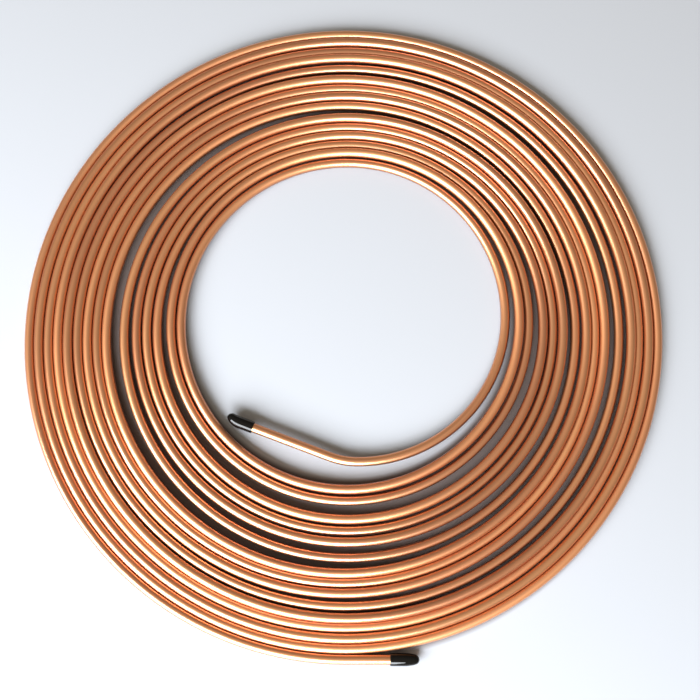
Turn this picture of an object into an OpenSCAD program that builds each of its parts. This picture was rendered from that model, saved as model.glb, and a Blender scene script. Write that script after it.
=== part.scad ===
// Flat coil of soft copper tube, wound as one spiral layer, with a push-on cap on each end.
// The tube lies on the plane z = 0. The spiral is a chain of arcs that meet at the top and the bottom of
// each turn, and wherever a turn lies loose. At each joint the bend radius grows by one step and the
// centre moves back by the same step, so the arcs stay tangent.

/* [Tube] */
// Outer diameter of the tube
tube_od = 6.35; // [4.75:0.05:9.55]
// Wall thickness of the tube
tube_wall = 0.7; // [0.5:0.05:1]

/* [Coil] */
// Number of quarter turns from the inner end to the outer end
quarter_turns = 59; // [20:1:72]
// Bend radius of the first quarter turn, to the tube's centre line
first_r = 106; // [80:1:140]
// Gap between neighbouring turns where they lie close
turn_gap = 0.15; // [0.1:0.05:2]
// Extra step in the winding where the turns lie loosest
loose_step = 2.6; // [0:0.1:5]

/* [Inner end] */
// How much tighter than the first turn the inner end bends as it leaves it
inner_inset = 7; // [4:1:24]
// Radius of the short kick that turns the inner end in towards the eye
inner_kick_r = 55; // [30:1:90]
// Gap between the tip of the inner cap and the first turn
inner_tip_gap = 3.4; // [1:0.1:20]
// Height that the inner end springs up by at the cap
inner_lift = 3; // [1:0.5:8]

/* [Outer end] */
// Straight length between the last turn and the cap
outer_straight = 28; // [5:1:60]

/* [End caps] */
// Length of tube held inside a cap
cap_grip = 10; // [6:1:20]
// Wall thickness of a cap
cap_wall = 0.7; // [0.3:0.05:1.2]
// Length of the tapered nose beyond the tube's end
cap_nose = 8.5; // [6:0.5:12]
// Diameter that the nose tapers to at its blunt tip
cap_tip_d = 5; // [3:0.1:6]
// Gap between the cap's bore and the tube, all round
cap_clearance = 0.1; // [0.05:0.01:0.2]

/* [Hidden] */
copper = "peru";
cap_black = [0.08, 0.08, 0.08];
arc_fn = 144;
section_fn = 48;

// Sides of the coil, in the order that the spiral meets them: the arcs' joints are numbered the same way
SIDES = [[1, 0], [0, 1], [-1, 0], [0, -1]];
RIGHT = 0;
TOP = 1;
LEFT = 2;
// Loose places as [full turns before, side, share of loose_step]: the coil opens on the opposite side
LOOSE = [
    [0, TOP, 0.85], [1, TOP, 0.15], [2, TOP, 1], [3, TOP, 0.2], [4, TOP, 0.15], [5, TOP, 0.6],
    [6, RIGHT, 1], [9, LEFT, 0.6],
];

turn_pitch = tube_od + turn_gap;
last = quarter_turns - 1;
inner_bend_r = first_r - inner_inset;
// Angle of the kick, whose sine 0.352 and cosine 0.936 let its straight meet it face to face
inner_kick_angle = 20.6097;
bore_r = tube_od / 2 + cap_clearance;
cap_r = bore_r + cap_wall;

// Steps kept to a thousandth, so that the arcs meet face to face
function thousandth(v) = round(v * 1000) / 1000;
function total(list) = len(list) == 0 ? 0 : list * [for (v = list) 1];
function side(joint) = SIDES[joint % 4];
function looseness(joint) = total([for (place = LOOSE) if (4 * place[0] + place[1] == joint) place[2]]);
function step(joint) = thousandth(joint % 2 * turn_pitch / 2 + loose_step * looseness(joint));
function radius(arc) = arc == 0 ? first_r : radius(arc - 1) + step(arc);
function centre(arc) = arc == 0 ? [0, 0] : centre(arc - 1) - step(arc) * side(arc);
function start(arc) = centre(arc) + radius(arc) * side(arc);
// Quarter turns from one joint to the next joint with a step
function span(arc) = arc + 1 < last && step(arc + 1) == 0 ? 1 + span(arc + 1) : 1;
// Slope of a tilted end: its cosine has six decimals, so that its arc still meets the level one face to face
function slope(rise, run) = acos(floor(sqrt(1 - pow(rise / run, 2)) * 1e6) / 1e6);

// Reach of the whole coil to each side, which centres it on the origin
outer_starts = [for (arc = [last - 3 : last]) start(arc)];
outer_end = centre(last) + (radius(last) + cap_r - tube_od / 2) * side(last + 1);
reach_x = [for (p = concat(outer_starts, [outer_end])) p[0]];
reach_y = [for (p = concat(outer_starts, [outer_end])) p[1]];
middle = [thousandth((max(reach_x) + min(reach_x)) / 2), thousandth((max(reach_y) + min(reach_y)) / 2)];

// Straight length of the inner end, as far as the cap, which leaves the cap's tip clear of the first turn
kick_way = [-cos(inner_kick_angle), sin(inner_kick_angle)];
kick_end = [inner_inset - inner_kick_r * kick_way[1], inner_kick_r * (1 + kick_way[0]) - inner_bend_r];
tip_reach = radius(1) - (tube_od + cap_tip_d) / 2 - inner_tip_gap;
from_centre = kick_end - centre(1);
along = from_centre * kick_way;
tip_distance = sqrt(along * along - from_centre * from_centre + tip_reach * tip_reach) - along;
inner_straight = thousandth(tip_distance - cap_grip - cap_nose);

// Slopes of the two ends: the outer cap rests on the floor, the inner one springs clear of it
inner_run = inner_bend_r + inner_kick_r * kick_way[1] - inner_straight * kick_way[0];
inner_slope = slope(inner_lift, inner_run);
outer_slope = slope(cap_r - tube_od / 2, radius(last) + outer_straight);

module tube_section() {
    difference() {
        circle(d = tube_od, $fn = section_fn);
        circle(d = tube_od - 2 * tube_wall, $fn = section_fn);
    }
}

module bend(r, from, turn) {
    rotate_extrude(angle = turn, start = from, $fn = arc_fn)
        translate([r, 0])
            tube_section();
}

// Frame of the coil: the centre of its first arc, one tube radius above the floor
module coil_frame() {
    translate([-middle[0], -middle[1], tube_od / 2])
        children();
}

// Frame at the start of an arc, with the arc's centre on its -X side
module arc_frame(arc) {
    translate([start(arc)[0], start(arc)[1], 0])
        rotate([0, 0, 90 * (arc % 4)])
            children();
}

module inner_frame() {
    arc_frame(0)
        rotate([0, inner_slope, 0])
            children();
}

module outer_frame() {
    arc_frame(last)
        rotate([0, outer_slope, 0])
            children();
}

// Frame at the centre of the inner end's shorter bend, turned to where that bend ends
module inner_kick_frame() {
    inner_frame()
        translate([-inner_bend_r, inner_kick_r - inner_bend_r, 0])
            rotate([0, 0, -90 - inner_kick_angle])
                children();
}

// Frames where the two straight ends begin, with the tube along +Z
module inner_straight_frame() {
    inner_kick_frame()
        translate([inner_kick_r, 0, 0])
            rotate([90, 0, 0])
                children();
}

module outer_straight_frame() {
    outer_frame()
        translate([-radius(last), radius(last), 0])
            rotate([0, -90, 0])
                children();
}

module full_turns() {
    for (arc = [0 : last - 1])
        if (arc == 0 || step(arc) > 0)
            arc_frame(arc)
                translate([-radius(arc), 0, 0])
                    bend(radius(arc), 0, 90 * span(arc));
}

module straight_end(length) {
    linear_extrude(length + cap_grip)
        tube_section();
}

module inner_end() {
    inner_frame()
        translate([-inner_bend_r, 0, 0])
            bend(inner_bend_r, -90, 90);
    inner_kick_frame()
        bend(inner_kick_r, 0, inner_kick_angle);
    inner_straight_frame()
        straight_end(inner_straight);
}

module outer_end() {
    outer_frame()
        translate([-radius(last), 0, 0])
            bend(radius(last), 0, 90);
    outer_straight_frame()
        straight_end(outer_straight);
}

// Half profile of a cap, mouth at the bottom: a straight skirt and a tapered nose with a domed tip
module cap_profile() {
    dome_r = cap_tip_d;
    square([cap_r, cap_grip]);
    translate([0, cap_grip])
        intersection() {
            polygon([[0, 0], [cap_r, 0], [cap_tip_d / 2, cap_nose], [0, cap_nose + dome_r]]);
            union() {
                square([cap_r, cap_nose - dome_r]);
                translate([0, cap_nose - dome_r])
                    circle(r = dome_r, $fn = arc_fn);
            }
        }
}

module end_cap() {
    difference() {
        rotate_extrude($fn = section_fn)
            cap_profile();
        translate([0, 0, -cap_clearance])
            cylinder(r = bore_r, h = cap_grip + 2 * cap_clearance, $fn = section_fn);
    }
}

module copper_tube() {
    color(copper)
        coil_frame() {
            inner_end();
            full_turns();
            outer_end();
        }
}

module inner_end_cap() {
    color(cap_black)
        coil_frame()
            inner_straight_frame()
                translate([0, 0, inner_straight])
                    end_cap();
}

module outer_end_cap() {
    color(cap_black)
        coil_frame()
            outer_straight_frame()
                translate([0, 0, outer_straight])
                    end_cap();
}

copper_tube();
inner_end_cap();
outer_end_cap();
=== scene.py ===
import math

import bpy
import numpy as np
from mathutils import Matrix, Vector


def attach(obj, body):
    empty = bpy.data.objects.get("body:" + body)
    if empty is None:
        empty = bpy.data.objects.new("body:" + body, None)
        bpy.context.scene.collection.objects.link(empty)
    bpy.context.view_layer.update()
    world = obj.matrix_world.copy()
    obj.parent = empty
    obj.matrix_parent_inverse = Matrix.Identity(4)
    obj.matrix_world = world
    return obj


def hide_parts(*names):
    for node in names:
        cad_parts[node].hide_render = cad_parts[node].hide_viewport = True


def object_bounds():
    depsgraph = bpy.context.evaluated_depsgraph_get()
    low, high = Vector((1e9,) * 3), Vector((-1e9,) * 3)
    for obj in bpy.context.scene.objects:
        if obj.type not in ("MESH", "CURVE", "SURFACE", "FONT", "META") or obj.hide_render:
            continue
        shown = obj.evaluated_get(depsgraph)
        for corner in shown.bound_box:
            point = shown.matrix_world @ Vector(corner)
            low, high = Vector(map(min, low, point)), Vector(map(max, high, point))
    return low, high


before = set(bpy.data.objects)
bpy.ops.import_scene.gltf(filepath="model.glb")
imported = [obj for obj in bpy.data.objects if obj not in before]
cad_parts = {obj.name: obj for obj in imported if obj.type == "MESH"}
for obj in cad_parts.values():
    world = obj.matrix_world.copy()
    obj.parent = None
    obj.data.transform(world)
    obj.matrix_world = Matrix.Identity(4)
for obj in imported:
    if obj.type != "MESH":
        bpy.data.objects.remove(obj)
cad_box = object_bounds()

MM = 0.001
QUARTER = math.pi / 2

# Tube and spiral, the same sizes and rule as the part's source
TUBE_OD = 6.35 * MM
TUBE_WALL = 0.7 * MM
TUBE_R = TUBE_OD / 2
QUARTER_TURNS = 59
FIRST_R = 106 * MM
TURN_PITCH = TUBE_OD + 0.15 * MM
LOOSE_STEP = 2.6 * MM
SIDES = ((1, 0), (0, 1), (-1, 0), (0, -1))
RIGHT, TOP, LEFT = 0, 1, 2
# Share of the loose step at each loose place: full turns before it, and the side where it lies
LOOSE = {
    (0, TOP): 0.85,
    (1, TOP): 0.15,
    (2, TOP): 1.0,
    (3, TOP): 0.2,
    (4, TOP): 0.15,
    (5, TOP): 0.6,
    (6, RIGHT): 1.0,
    (9, LEFT): 0.6,
}
LAST = QUARTER_TURNS - 1

# Free ends and caps, as in the part's source
INNER_INSET = 7 * MM
INNER_BEND_R = FIRST_R - INNER_INSET
INNER_KICK_R = 55 * MM
INNER_KICK_ANGLE = math.radians(20.6097)
INNER_TIP_GAP = 3.4 * MM
INNER_LIFT = 3 * MM
OUTER_STRAIGHT = 28 * MM
CAP_GRIP = 10 * MM
CAP_WALL = 0.7 * MM
CAP_NOSE = 8.5 * MM
CAP_TIP_R = 2.5 * MM
CAP_CLEARANCE = 0.1 * MM
BORE_R = TUBE_R + CAP_CLEARANCE
CAP_R = BORE_R + CAP_WALL

# Softer form of the caps: a rounded nose, blurred edges, and a bend in the inner cap's nose
NOSE_POWER = 3.2
NOSE_TAPER = 0.18
CAP_SOFT = 0.35 * MM
SOFT_TAPS = (-1, -0.5, 0, 0.5, 1)
SOFT_RUN = 4 * CAP_SOFT
INNER_CAP_LEAN = math.radians(40)

# Fineness of the swept tube and the caps
RINGS_PER_TURN = 160
OUTER_SIDES = 24
BORE_SIDES = 12
PER_RING = OUTER_SIDES + BORE_SIDES
STRAIGHT_RINGS = 8
CAP_SIDES = 48
LIP_STEPS = 8
NOSE_STEPS = 24

# Layout of the baked textures, in shares of the picture: rows of the outside at the bottom, rows of the bore
# above them, and the two end faces as discs beside the bore
UV_ROWS = 26
UV_EDGE = 0.002
UV_ROW_GAP = 0.06
UV_OUTSIDE_TOP = 0.9
UV_BORE_BOTTOM = 0.905
UV_BORE_WIDTH = 0.91
UV_FIRST_END = Vector((0.94, 0.95))
UV_LAST_END = Vector((0.98, 0.95))
UV_END_R = 0.018
UV_END_BORE_R = 0.012

# Hand-wound unevenness of the turns, which only ever lifts them off the floor: every other turn rides up
# on one side of the coil and leans over the neighbour that it rides on. Waves and fades are lengths along
# the tube in metres; the cycle, the stretch and the lean's start and fade are counted in turns.
WAVE_LIFT = 0.3 * MM
WAVE_LENGTHS = (0.47, 0.83, 1.31)
RIDE_LIFT = 2.3 * MM
RIDE_SWING = 1.0 * MM
RIDE_CYCLE = 4.7
RIDE_STRETCH = 2
RIDE_WAYS = (1, 1, -1, 1, -1, 1, 1, 1)
LEAN_START = 1
LEAN_FADE = 0.5
INNER_FADE = 0.25
OUTER_FADE = 1.8

# Colours of the copper, the caps and the floor
COPPER = (0.95, 0.38, 0.118)
COPPER_BLOTCH = (0.91, 0.34, 0.105)
COPPER_STREAK = (0.70, 0.27, 0.11)
COPPER_STRETCH = (0.66, 0.215, 0.065)
# Painted shade for the copper's lower flanks, between the turns
COPPER_PAINTED_SHADE = (0.24, 0.06, 0.021)
CAP_DARK = (0.0006, 0.0006, 0.0006)
CAP_LIGHT = (0.0012, 0.0012, 0.0012)
CAP_GLOSS_TINT = (1.0, 0.85, 0.65, 1.0)
FLOOR_PALE = (0.40, 0.352, 0.288)
# Painted shade for the floor under the turns
FLOOR_PAINTED_SHADE = (0.12, 0.078, 0.05)

# Height up the flank, as a share of the tube's radius, where the painted shade on the copper ends
PAINTED_SHADE_TOP = 0.7
# Band in which the floor's painted shade fades out under the outermost turn
RIM_SHADE_IN = 3 * MM
RIM_SHADE_OUT = 1 * MM

# Floor, light and camera
FLOOR_HALF = 12.0
WINDOW_AZIMUTH = math.radians(236)
WINDOW_ELEVATION = math.radians(33)
WINDOW_DISTANCE = 1.6
WINDOW_SIZE = (2.0, 1.0)
WINDOW_WATTS = 135
WINDOW_COLOUR = (0.76, 0.93, 1.26)
GLOW_LOW, GLOW_HIGH = 0.30, 0.47
GLOW_AWAY, GLOW_TOWARD = 0.6, 1.4
IMAGE_SIDE = 700
SENSOR = 36.0
CAMERA_TILT = math.radians(9)
CAMERA_DISTANCE = 0.58
PIXELS_PER_METRE = 1487
LOOK_AT = Vector((0.0043, -0.0130, 0))


def route_table():
    """Radius and centre of each quarter turn, as the part's source works them out."""
    radii, centres = [FIRST_R], [Vector((0, 0))]
    for arc in range(1, LAST + 1):
        step = arc % 2 * TURN_PITCH / 2 + LOOSE_STEP * LOOSE.get((arc // 4, arc % 4), 0)
        radii.append(radii[-1] + step)
        centres.append(centres[-1] - step * Vector(SIDES[arc % 4]))
    return radii, centres


radii, centres = route_table()
starts = [centres[arc] + radii[arc] * Vector(SIDES[arc % 4]) for arc in range(LAST + 1)]
outer_reach = centres[LAST] + (radii[LAST] + CAP_R - TUBE_R) * Vector(SIDES[(LAST + 1) % 4])
reach = starts[LAST - 3:] + [outer_reach]
middle = Vector([(max(p[i] for p in reach) + min(p[i] for p in reach)) / 2 for i in (0, 1)])


def straight_length():
    """Straight length of the inner end, which leaves its cap's tip clear of the first turn."""
    way = Vector((-math.cos(INNER_KICK_ANGLE), math.sin(INNER_KICK_ANGLE)))
    kick_end = Vector((INNER_INSET - INNER_KICK_R * way.y, INNER_KICK_R * (1 + way.x) - INNER_BEND_R))
    tip_reach = radii[1] - TUBE_R - CAP_TIP_R - INNER_TIP_GAP
    out = kick_end - centres[1]
    along = out @ way
    return math.sqrt(along**2 - out @ out + tip_reach**2) - along - CAP_GRIP - CAP_NOSE


INNER_STRAIGHT = straight_length()


def slope(rise, run):
    return math.asin(rise / run)


def arc_frame(arc, tilt=0.0):
    """Frame at the start of an arc, with the arc's centre on its -X side."""
    place = (starts[arc] - middle).to_3d() + Vector((0, 0, TUBE_R))
    turn = Matrix.Rotation(QUARTER * (arc % 4), 4, "Z")
    return Matrix.Translation(place) @ turn @ Matrix.Rotation(tilt, 4, "Y")


kick_run = INNER_KICK_R * math.sin(INNER_KICK_ANGLE)
inner_run = INNER_BEND_R + kick_run + INNER_STRAIGHT * math.cos(INNER_KICK_ANGLE)
inner_frame = arc_frame(0, slope(INNER_LIFT, inner_run))
outer_frame = arc_frame(LAST, slope(CAP_R - TUBE_R, radii[LAST] + OUTER_STRAIGHT))
kick_frame = (
    inner_frame
    @ Matrix.Translation((-INNER_BEND_R, INNER_KICK_R - INNER_BEND_R, 0))
    @ Matrix.Rotation(-QUARTER - INNER_KICK_ANGLE, 4, "Z")
)
inner_end_frame = kick_frame @ Matrix.Translation((INNER_KICK_R, 0, 0))
outer_end_frame = outer_frame @ Matrix.Translation((-radii[LAST], radii[LAST], 0))
# Frames at the mouths of the caps, with the cap along +Z
inner_cap_frame = (
    inner_end_frame @ Matrix.Rotation(QUARTER, 4, "X") @ Matrix.Translation((0, 0, INNER_STRAIGHT))
)
outer_cap_frame = (
    outer_end_frame @ Matrix.Rotation(-QUARTER, 4, "Y") @ Matrix.Translation((0, 0, OUTER_STRAIGHT))
)


def arc_rings(place, r, start, turn):
    """Ring frames along an arc about the Z axis of a frame, without the ring at its end."""
    count = max(2, round(RINGS_PER_TURN * turn / math.tau))
    for i in range(count):
        yield place @ Matrix.Rotation(start + turn * i / count, 4, "Z") @ Matrix.Translation((r, 0, 0))


def inner_end_rings():
    """Ring frames of the inner end, from its cap to the start of the first turn."""
    length = INNER_STRAIGHT + CAP_GRIP
    for i in range(STRAIGHT_RINGS):
        yield inner_end_frame @ Matrix.Translation((0, -length * (1 - i / STRAIGHT_RINGS), 0))
    yield from arc_rings(kick_frame, INNER_KICK_R, 0, INNER_KICK_ANGLE)
    bend_centre = inner_frame @ Matrix.Translation((-INNER_BEND_R, 0, 0))
    yield from arc_rings(bend_centre, INNER_BEND_R, -QUARTER, QUARTER)


def tube_rings():
    """Turns wound so far and ring frames, inner end first: X points out of the bend, Y along the tube."""
    inner = list(inner_end_rings())
    for i, ring in enumerate(inner):
        yield -(1 - i / len(inner)) / 4, ring
    for arc in range(LAST + 1):
        place = outer_frame if arc == LAST else arc_frame(arc)
        bend_centre = place @ Matrix.Translation((-radii[arc], 0, 0))
        rings = list(arc_rings(bend_centre, radii[arc], 0, QUARTER))
        for i, ring in enumerate(rings):
            yield (arc + i / len(rings)) / 4, ring
    straight = outer_end_frame @ Matrix.Rotation(QUARTER, 4, "Z")
    length = OUTER_STRAIGHT + CAP_GRIP
    for i in range(STRAIGHT_RINGS + 1):
        reached = i / STRAIGHT_RINGS
        yield (LAST + 1 + reached) / 4, straight @ Matrix.Translation((0, length * reached, 0))


def eased(share):
    share = np.clip(share, 0, 1)
    return share**2 * (3 - 2 * share)


def lifts(along, turns):
    """Lift of each ring: always upward, none near the ends, and high where the turns beside it are low."""
    swell = sum(np.sin(math.tau * along / length) for length in WAVE_LENGTHS) / len(WAVE_LENGTHS)
    ride = RIDE_LIFT + RIDE_SWING * np.sin(math.tau * turns / RIDE_CYCLE)
    lift = WAVE_LIFT * (1 + swell) + ride * (1 - np.cos(math.tau * turns / RIDE_STRETCH)) / 2
    return lift * eased(np.minimum(along / INNER_FADE, (along[-1] - along) / OUTER_FADE))


def leans(turns, lift):
    """Sideways shift of each ring over the turn that it rides on, as far as it goes without touching."""
    stretch = (turns - RIDE_STRETCH / 4) // RIDE_STRETCH
    way = np.array(RIDE_WAYS)[np.clip(stretch, 0, len(RIDE_WAYS) - 1).astype(int)]
    drop = np.clip(lift - np.interp(turns + way, turns, lift), 0, None)
    drop = drop * eased((turns - LEAN_START) / LEAN_FADE)
    return way * (TUBE_OD - np.sqrt(TUBE_OD**2 - drop**2))


def mesh_object(name, verts, faces, material):
    mesh = bpy.data.meshes.new(name)
    mesh.from_pydata(verts, [], faces)
    mesh.materials.append(material)
    mesh.shade_smooth()
    obj = bpy.data.objects.new(name, mesh)
    bpy.context.scene.collection.objects.link(obj)
    return obj


def section(sides, r):
    return [(r * math.cos(math.tau * q / sides), r * math.sin(math.tau * q / sides)) for q in range(sides)]


def end_spot(ring, side):
    """Place of an end face's corner in the baked textures."""
    r, sides = (UV_END_BORE_R, BORE_SIDES) if side >= OUTER_SIDES else (UV_END_R, OUTER_SIDES)
    turn = math.tau * (side % OUTER_SIDES) / sides
    centre = UV_FIRST_END if ring == 0 else UV_LAST_END
    return centre + r * Vector((math.cos(turn), math.sin(turn)))


def lay_out_rows(mesh, along):
    """UV map for the baked textures: the tube cut into rows, with the bore's rows and the two ends above."""
    per_row = math.ceil((len(along) - 1) / UV_ROWS)
    begins = [along[k * per_row] for k in range(UV_ROWS)]
    longest = max(b - a for a, b in zip(begins, [*begins[1:], along[-1]]))
    uv = np.empty((len(mesh.loops), 2), dtype=np.float32)
    for face in mesh.polygons:
        corners = [divmod(v, PER_RING) for v in face.vertices]
        row = min(ring for ring, _ in corners) // per_row
        highest_side = max(side for _, side in corners)
        in_bore = {side >= OUTER_SIDES for _, side in corners}
        for loop, (ring, side) in zip(face.loop_indices, corners):
            if len(in_bore) == 2:
                uv[loop] = end_spot(ring, side)
                continue
            bore = True in in_bore
            sides = BORE_SIDES if bore else OUTER_SIDES
            side %= OUTER_SIDES
            wraps = side == 0 and highest_side % OUTER_SIDES == sides - 1
            across = 1 if wraps else side / sides
            u = UV_EDGE + (1 - 2 * UV_EDGE) * (along[ring] - begins[row]) / longest
            v = (row + UV_ROW_GAP + (1 - 2 * UV_ROW_GAP) * across) / UV_ROWS
            if bore:
                uv[loop] = UV_BORE_WIDTH * u, UV_BORE_BOTTOM + (1 - UV_BORE_BOTTOM) * v
            else:
                uv[loop] = u, UV_OUTSIDE_TOP * v
    mesh.uv_layers.new(name="OFBake").data.foreach_set("uv", uv.ravel())


def tube_faces(ring_count):
    """Faces of the outside and the bore from ring to ring, and of the two ends that join them."""
    for ring in range(ring_count - 1):
        a, b = ring * PER_RING, (ring + 1) * PER_RING
        for q in range(OUTER_SIDES):
            p = (q + 1) % OUTER_SIDES
            yield a + q, b + q, b + p, a + p
        a, b = a + OUTER_SIDES, b + OUTER_SIDES
        for q in range(BORE_SIDES):
            p = (q + 1) % BORE_SIDES
            yield a + q, a + p, b + p, b + q
    for ring in (0, ring_count - 1):
        base = ring * PER_RING
        for q in range(BORE_SIDES):
            o, p = base + 2 * q, base + (2 * q + 2) % OUTER_SIDES
            i, j = base + OUTER_SIDES + q, base + OUTER_SIDES + (q + 1) % BORE_SIDES
            for face in ((o, o + 1, i), (o + 1, p, j, i)):
                yield face if ring == 0 else face[::-1]


def make_tube(material):
    turns, rings = zip(*tube_rings())
    turns = np.array(turns)
    spots = [m.translation for m in rings]
    along = np.cumsum([0.0] + [(b - a).length for a, b in zip(spots, spots[1:])])
    lift = lifts(along, turns)
    lean = leans(turns, lift)
    verts, run = [], []
    corners = section(OUTER_SIDES, TUBE_R) + section(BORE_SIDES, TUBE_R - TUBE_WALL)
    for place, s, up, aside in zip(rings, along, lift, lean):
        for x, z in corners:
            verts.append(place @ Vector((x + aside, 0, z)) + Vector((0, 0, up)))
            run.append((s, x, z))
    tube = mesh_object("wound_tube", verts, list(tube_faces(len(rings))), material)
    lay_out_rows(tube.data, along)
    layer = tube.data.attributes.new("run", "FLOAT_VECTOR", "POINT")
    layer.data.foreach_set("vector", np.array(run, dtype=np.float32).ravel())
    return tube


def nose_radius(z):
    """Radius of a cap's nose at a height above its skirt: a slight taper that rounds over the tip."""
    rise = min(max(z, 0) / CAP_NOSE, 1)
    return CAP_R * (1 - NOSE_TAPER * rise) * (1 - rise**NOSE_POWER) ** (1 / NOSE_POWER)


def cap_profile():
    """Half section of a cap as radius and height: from its bore's end, round the lip, to the tip."""
    lip = CAP_WALL / 2
    yield BORE_R, CAP_GRIP + CAP_CLEARANCE
    for i in range(LIP_STEPS + 1):
        turn = math.pi * i / LIP_STEPS
        yield BORE_R + lip - lip * math.cos(turn), lip - lip * math.sin(turn)
    for i in range(NOSE_STEPS + 1):
        z = -SOFT_RUN + (CAP_NOSE + SOFT_RUN) * math.sin(QUARTER * i / NOSE_STEPS)
        yield sum(nose_radius(z + CAP_SOFT * k) for k in SOFT_TAPS) / len(SOFT_TAPS), CAP_GRIP + z


def bent(x, y, z, lean):
    """Point of a cap with its soft nose bent towards the frame's -X side."""
    if lean == 0 or z <= CAP_GRIP:
        return Vector((x, y, z))
    r = CAP_NOSE / lean
    turn = (z - CAP_GRIP) / r
    return Vector(((r + x) * math.cos(turn) - r, y, CAP_GRIP + (r + x) * math.sin(turn)))


def make_cap(name, place, lean, material):
    profile = list(cap_profile())
    verts = [place @ bent(0, 0, profile[row][1], lean) for row in (0, -1)]
    for r, z in profile:
        verts += [place @ bent(x, y, z, lean) for x, y in section(CAP_SIDES, r)]
    faces = []
    top = 2 + (len(profile) - 1) * CAP_SIDES
    for q in range(CAP_SIDES):
        p = (q + 1) % CAP_SIDES
        faces += [(2 + p, 2 + q, 0), (top + q, top + p, 1)]
        for row in range(len(profile) - 1):
            a = 2 + row * CAP_SIDES
            b = a + CAP_SIDES
            faces.append((a + p, b + p, b + q, a + q))
    return mesh_object(name, verts, faces, material)


class Nodes:
    """Short way to add and link shader nodes of one material or world."""

    def __init__(self, owner):
        owner.use_nodes = True
        self.tree = owner.node_tree

    def fill(self, socket, value):
        if isinstance(value, bpy.types.NodeSocket):
            self.tree.links.new(value, socket)
        else:
            socket.default_value = value

    def add(self, kind, **inputs):
        node = self.tree.nodes.new(kind)
        for key, value in inputs.items():
            self.fill(node.inputs[key.replace("_", " ").title()], value)
        return node

    def vector_math(self, operation, first, second):
        node = self.tree.nodes.new("ShaderNodeVectorMath")
        node.operation = operation
        self.fill(node.inputs[0], first)
        self.fill(node.inputs[1], second)
        return node

    def noise(self, vector, scale, detail):
        scaled = self.vector_math("MULTIPLY", vector, scale).outputs["Vector"]
        node = self.add("ShaderNodeTexNoise", vector=scaled, scale=1.0, detail=detail, roughness=0.5)
        return node.outputs["Fac"]

    def span(self, value, low, high, to_low=0.0, to_high=1.0):
        node = self.add(
            "ShaderNodeMapRange", value=value, from_min=low, from_max=high, to_min=to_low, to_max=to_high
        )
        return node.outputs["Result"]

    def mixed(self, factor, first, second):
        node = self.tree.nodes.new("ShaderNodeMix")
        node.data_type = "RGBA"
        self.fill(node.inputs["Factor"], factor)
        first_colour, second_colour = node.inputs[6], node.inputs[7]
        for socket, value in ((first_colour, first), (second_colour, second)):
            self.fill(socket, (*value, 1.0) if isinstance(value, tuple) else value)
        return node.outputs[2]

    def bump(self, height, strength, distance):
        node = self.add("ShaderNodeBump", height=height, strength=strength, distance=distance)
        return node.outputs["Normal"]


def new_material(name):
    """A material, its nodes and the sockets of its shader."""
    material = bpy.data.materials.new(name)
    nodes = Nodes(material)
    return material, nodes, nodes.tree.nodes["Principled BSDF"].inputs


def copper_material():
    """Drawn copper: mottled, streaked along the tube, with painted shade darkening the lower flanks where the
    turns lie close and shade each other.
    """
    material, nodes, shader = new_material("drawn_copper")
    run = nodes.add("ShaderNodeAttribute")
    run.attribute_name = "run"
    along = run.outputs["Vector"]
    height = nodes.add("ShaderNodeSeparateXYZ", vector=along).outputs["Z"]
    blotch = nodes.noise(along, (9, 120, 120), detail=4)
    streak = nodes.noise(along, (5, 1100, 1100), detail=3)
    stretch = nodes.noise(along, (2.3, 0, 0), detail=2)
    sheen = nodes.noise(along, (1.6, 60, 60), detail=3)
    fine = nodes.noise(along, (30, 3200, 3200), detail=2)
    tone = nodes.mixed(nodes.span(blotch, 0.35, 0.7), COPPER, COPPER_BLOTCH)
    tone = nodes.mixed(nodes.span(streak, 0.5, 0.75, 0.0, 0.5), tone, COPPER_STREAK)
    tone = nodes.mixed(nodes.span(stretch, 0.42, 0.62, 0.0, 0.7), tone, COPPER_STRETCH)
    # Painted shade: the copper darkens down the lower flanks of the tube, where neighbouring turns shade each
    # other
    tone = nodes.mixed(nodes.span(height, 0.0, PAINTED_SHADE_TOP * TUBE_R, 0.85, 0.0), tone, COPPER_PAINTED_SHADE)
    nodes.fill(shader["Base Color"], tone)
    shader["Metallic"].default_value = 1.0
    shader["Coat Weight"].default_value = 1.0
    shader["Coat Roughness"].default_value = 0.28
    shader["Coat IOR"].default_value = 1.7
    nodes.fill(shader["Roughness"], nodes.span(sheen, 0.35, 0.65, 0.30, 0.48))
    nodes.fill(shader["Normal"], nodes.bump(fine, strength=0.25, distance=0.04 * MM))
    return material


def cap_material():
    """Glossy black plastic with a faintly uneven skin."""
    material, nodes, shader = new_material("cap_plastic")
    place = nodes.add("ShaderNodeTexCoord").outputs["Object"]
    skin = nodes.noise(place, (400, 400, 400), detail=3)
    nodes.fill(shader["Base Color"], nodes.mixed(nodes.span(skin, 0.35, 0.7), CAP_DARK, CAP_LIGHT))
    nodes.fill(shader["Roughness"], nodes.span(skin, 0.3, 0.7, 0.04, 0.08))
    shader["Specular IOR Level"].default_value = 0.4
    shader["Specular Tint"].default_value = CAP_GLOSS_TINT
    nodes.fill(shader["Normal"], nodes.bump(skin, strength=0.2, distance=0.1 * MM))
    return material


def floor_material():
    """Pale floor with painted shade under the turns only, where the ground below a coil lies in shade."""
    material, nodes, shader = new_material("floor_paint")
    place = nodes.add("ShaderNodeTexCoord").outputs["Object"]

    def away_from(centre):
        return nodes.vector_math("DISTANCE", place, (*centre, cad_box[0][2])).outputs["Value"]

    eye_edge = FIRST_R + TUBE_OD
    under_turns = nodes.span(away_from(-middle), eye_edge - TUBE_R, eye_edge)
    outside = nodes.span(away_from((0, 0)), radii[LAST] - RIM_SHADE_IN, radii[LAST] + RIM_SHADE_OUT)
    # Painted shade: the floor is dark under the turns, seen only through the gaps between them
    tone = nodes.mixed(under_turns, FLOOR_PALE, FLOOR_PAINTED_SHADE)
    nodes.fill(shader["Base Color"], nodes.mixed(outside, tone, FLOOR_PALE))
    shader["Roughness"].default_value = 0.7
    return material


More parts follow.
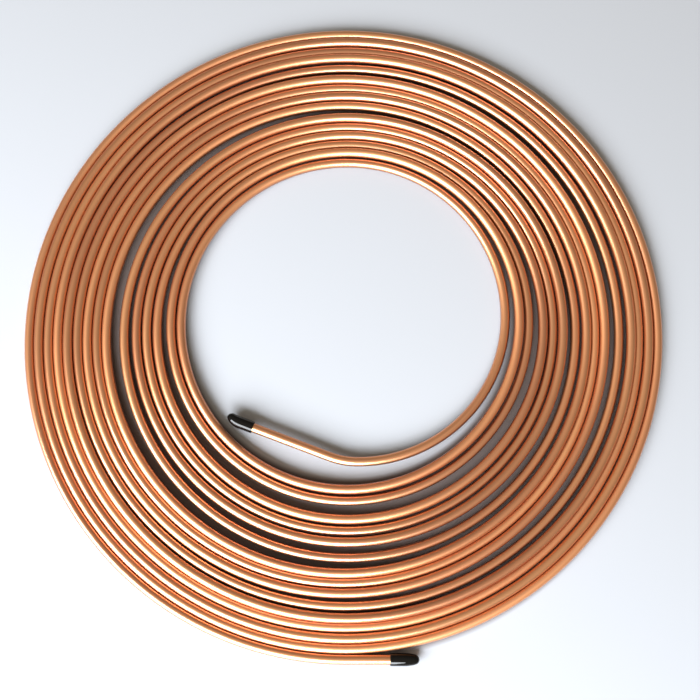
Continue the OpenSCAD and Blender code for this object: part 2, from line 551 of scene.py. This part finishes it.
def make_floor():
    corners = ((-1, -1), (1, -1), (1, 1), (-1, 1))
    verts = [(x * FLOOR_HALF, y * FLOOR_HALF, cad_box[0][2]) for x, y in corners]
    return mesh_object("floor", verts, [(0, 1, 2, 3)], floor_material())


def add_window():
    """A wide, soft light that faces the coil's middle."""
    data = bpy.data.lights.new("window", "AREA")
    data.shape = "RECTANGLE"
    data.size, data.size_y = WINDOW_SIZE
    data.energy = WINDOW_WATTS
    data.color = WINDOW_COLOUR
    light = bpy.data.objects.new("window", data)
    across = WINDOW_DISTANCE * math.cos(WINDOW_ELEVATION)
    light.location = (
        across * math.cos(WINDOW_AZIMUTH),
        across * math.sin(WINDOW_AZIMUTH),
        WINDOW_DISTANCE * math.sin(WINDOW_ELEVATION),
    )
    light.rotation_euler = (-light.location).to_track_quat("-Z", "Y").to_euler()
    bpy.context.scene.collection.objects.link(light)


def add_studio():
    """White surroundings that glow more from above and from the window's side."""
    world = bpy.data.worlds.new("studio")
    bpy.context.scene.world = world
    nodes = Nodes(world)
    direction = nodes.add("ShaderNodeTexCoord").outputs["Generated"]
    height = nodes.add("ShaderNodeSeparateXYZ", vector=direction).outputs["Z"]
    window_way = (math.cos(WINDOW_AZIMUTH), math.sin(WINDOW_AZIMUTH), 0)
    toward = nodes.vector_math("DOT_PRODUCT", direction, window_way).outputs["Value"]
    glow = nodes.tree.nodes.new("ShaderNodeMath")
    glow.operation = "MULTIPLY"
    nodes.fill(glow.inputs[0], nodes.span(height, 0.0, 1.0, GLOW_LOW, GLOW_HIGH))
    nodes.fill(glow.inputs[1], nodes.span(toward, -1.0, 1.0, GLOW_AWAY, GLOW_TOWARD))
    background = nodes.tree.nodes["Background"]
    background.inputs["Color"].default_value = (1, 1, 1, 1)
    nodes.fill(background.inputs["Strength"], glow.outputs[0])


def add_camera():
    """Camera at the photo's angle, a little to the near side of straight above."""
    data = bpy.data.cameras.new("camera")
    data.sensor_width = SENSOR
    data.lens = PIXELS_PER_METRE * CAMERA_DISTANCE / IMAGE_SIDE * SENSOR
    camera = bpy.data.objects.new("camera", data)
    camera.matrix_world = (
        Matrix.Translation(LOOK_AT)
        @ Matrix.Rotation(CAMERA_TILT, 4, "X")
        @ Matrix.Translation((0, 0, CAMERA_DISTANCE))
    )
    bpy.context.scene.collection.objects.link(camera)
    bpy.context.scene.camera = camera


copper = copper_material()
black = cap_material()
tube = make_tube(copper)
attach(tube, "root")
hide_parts("copper_tube")
for node, place, lean in (
    ("inner_end_cap", inner_cap_frame, INNER_CAP_LEAN),
    ("outer_end_cap", outer_cap_frame, 0),
):
    cap = make_cap("moulded_" + node, place, lean, black)
    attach(cap, "root")
    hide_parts(node)

floor = make_floor()
add_window()
add_studio()
add_camera()
bpy.context.scene.view_settings.view_transform = "Standard"
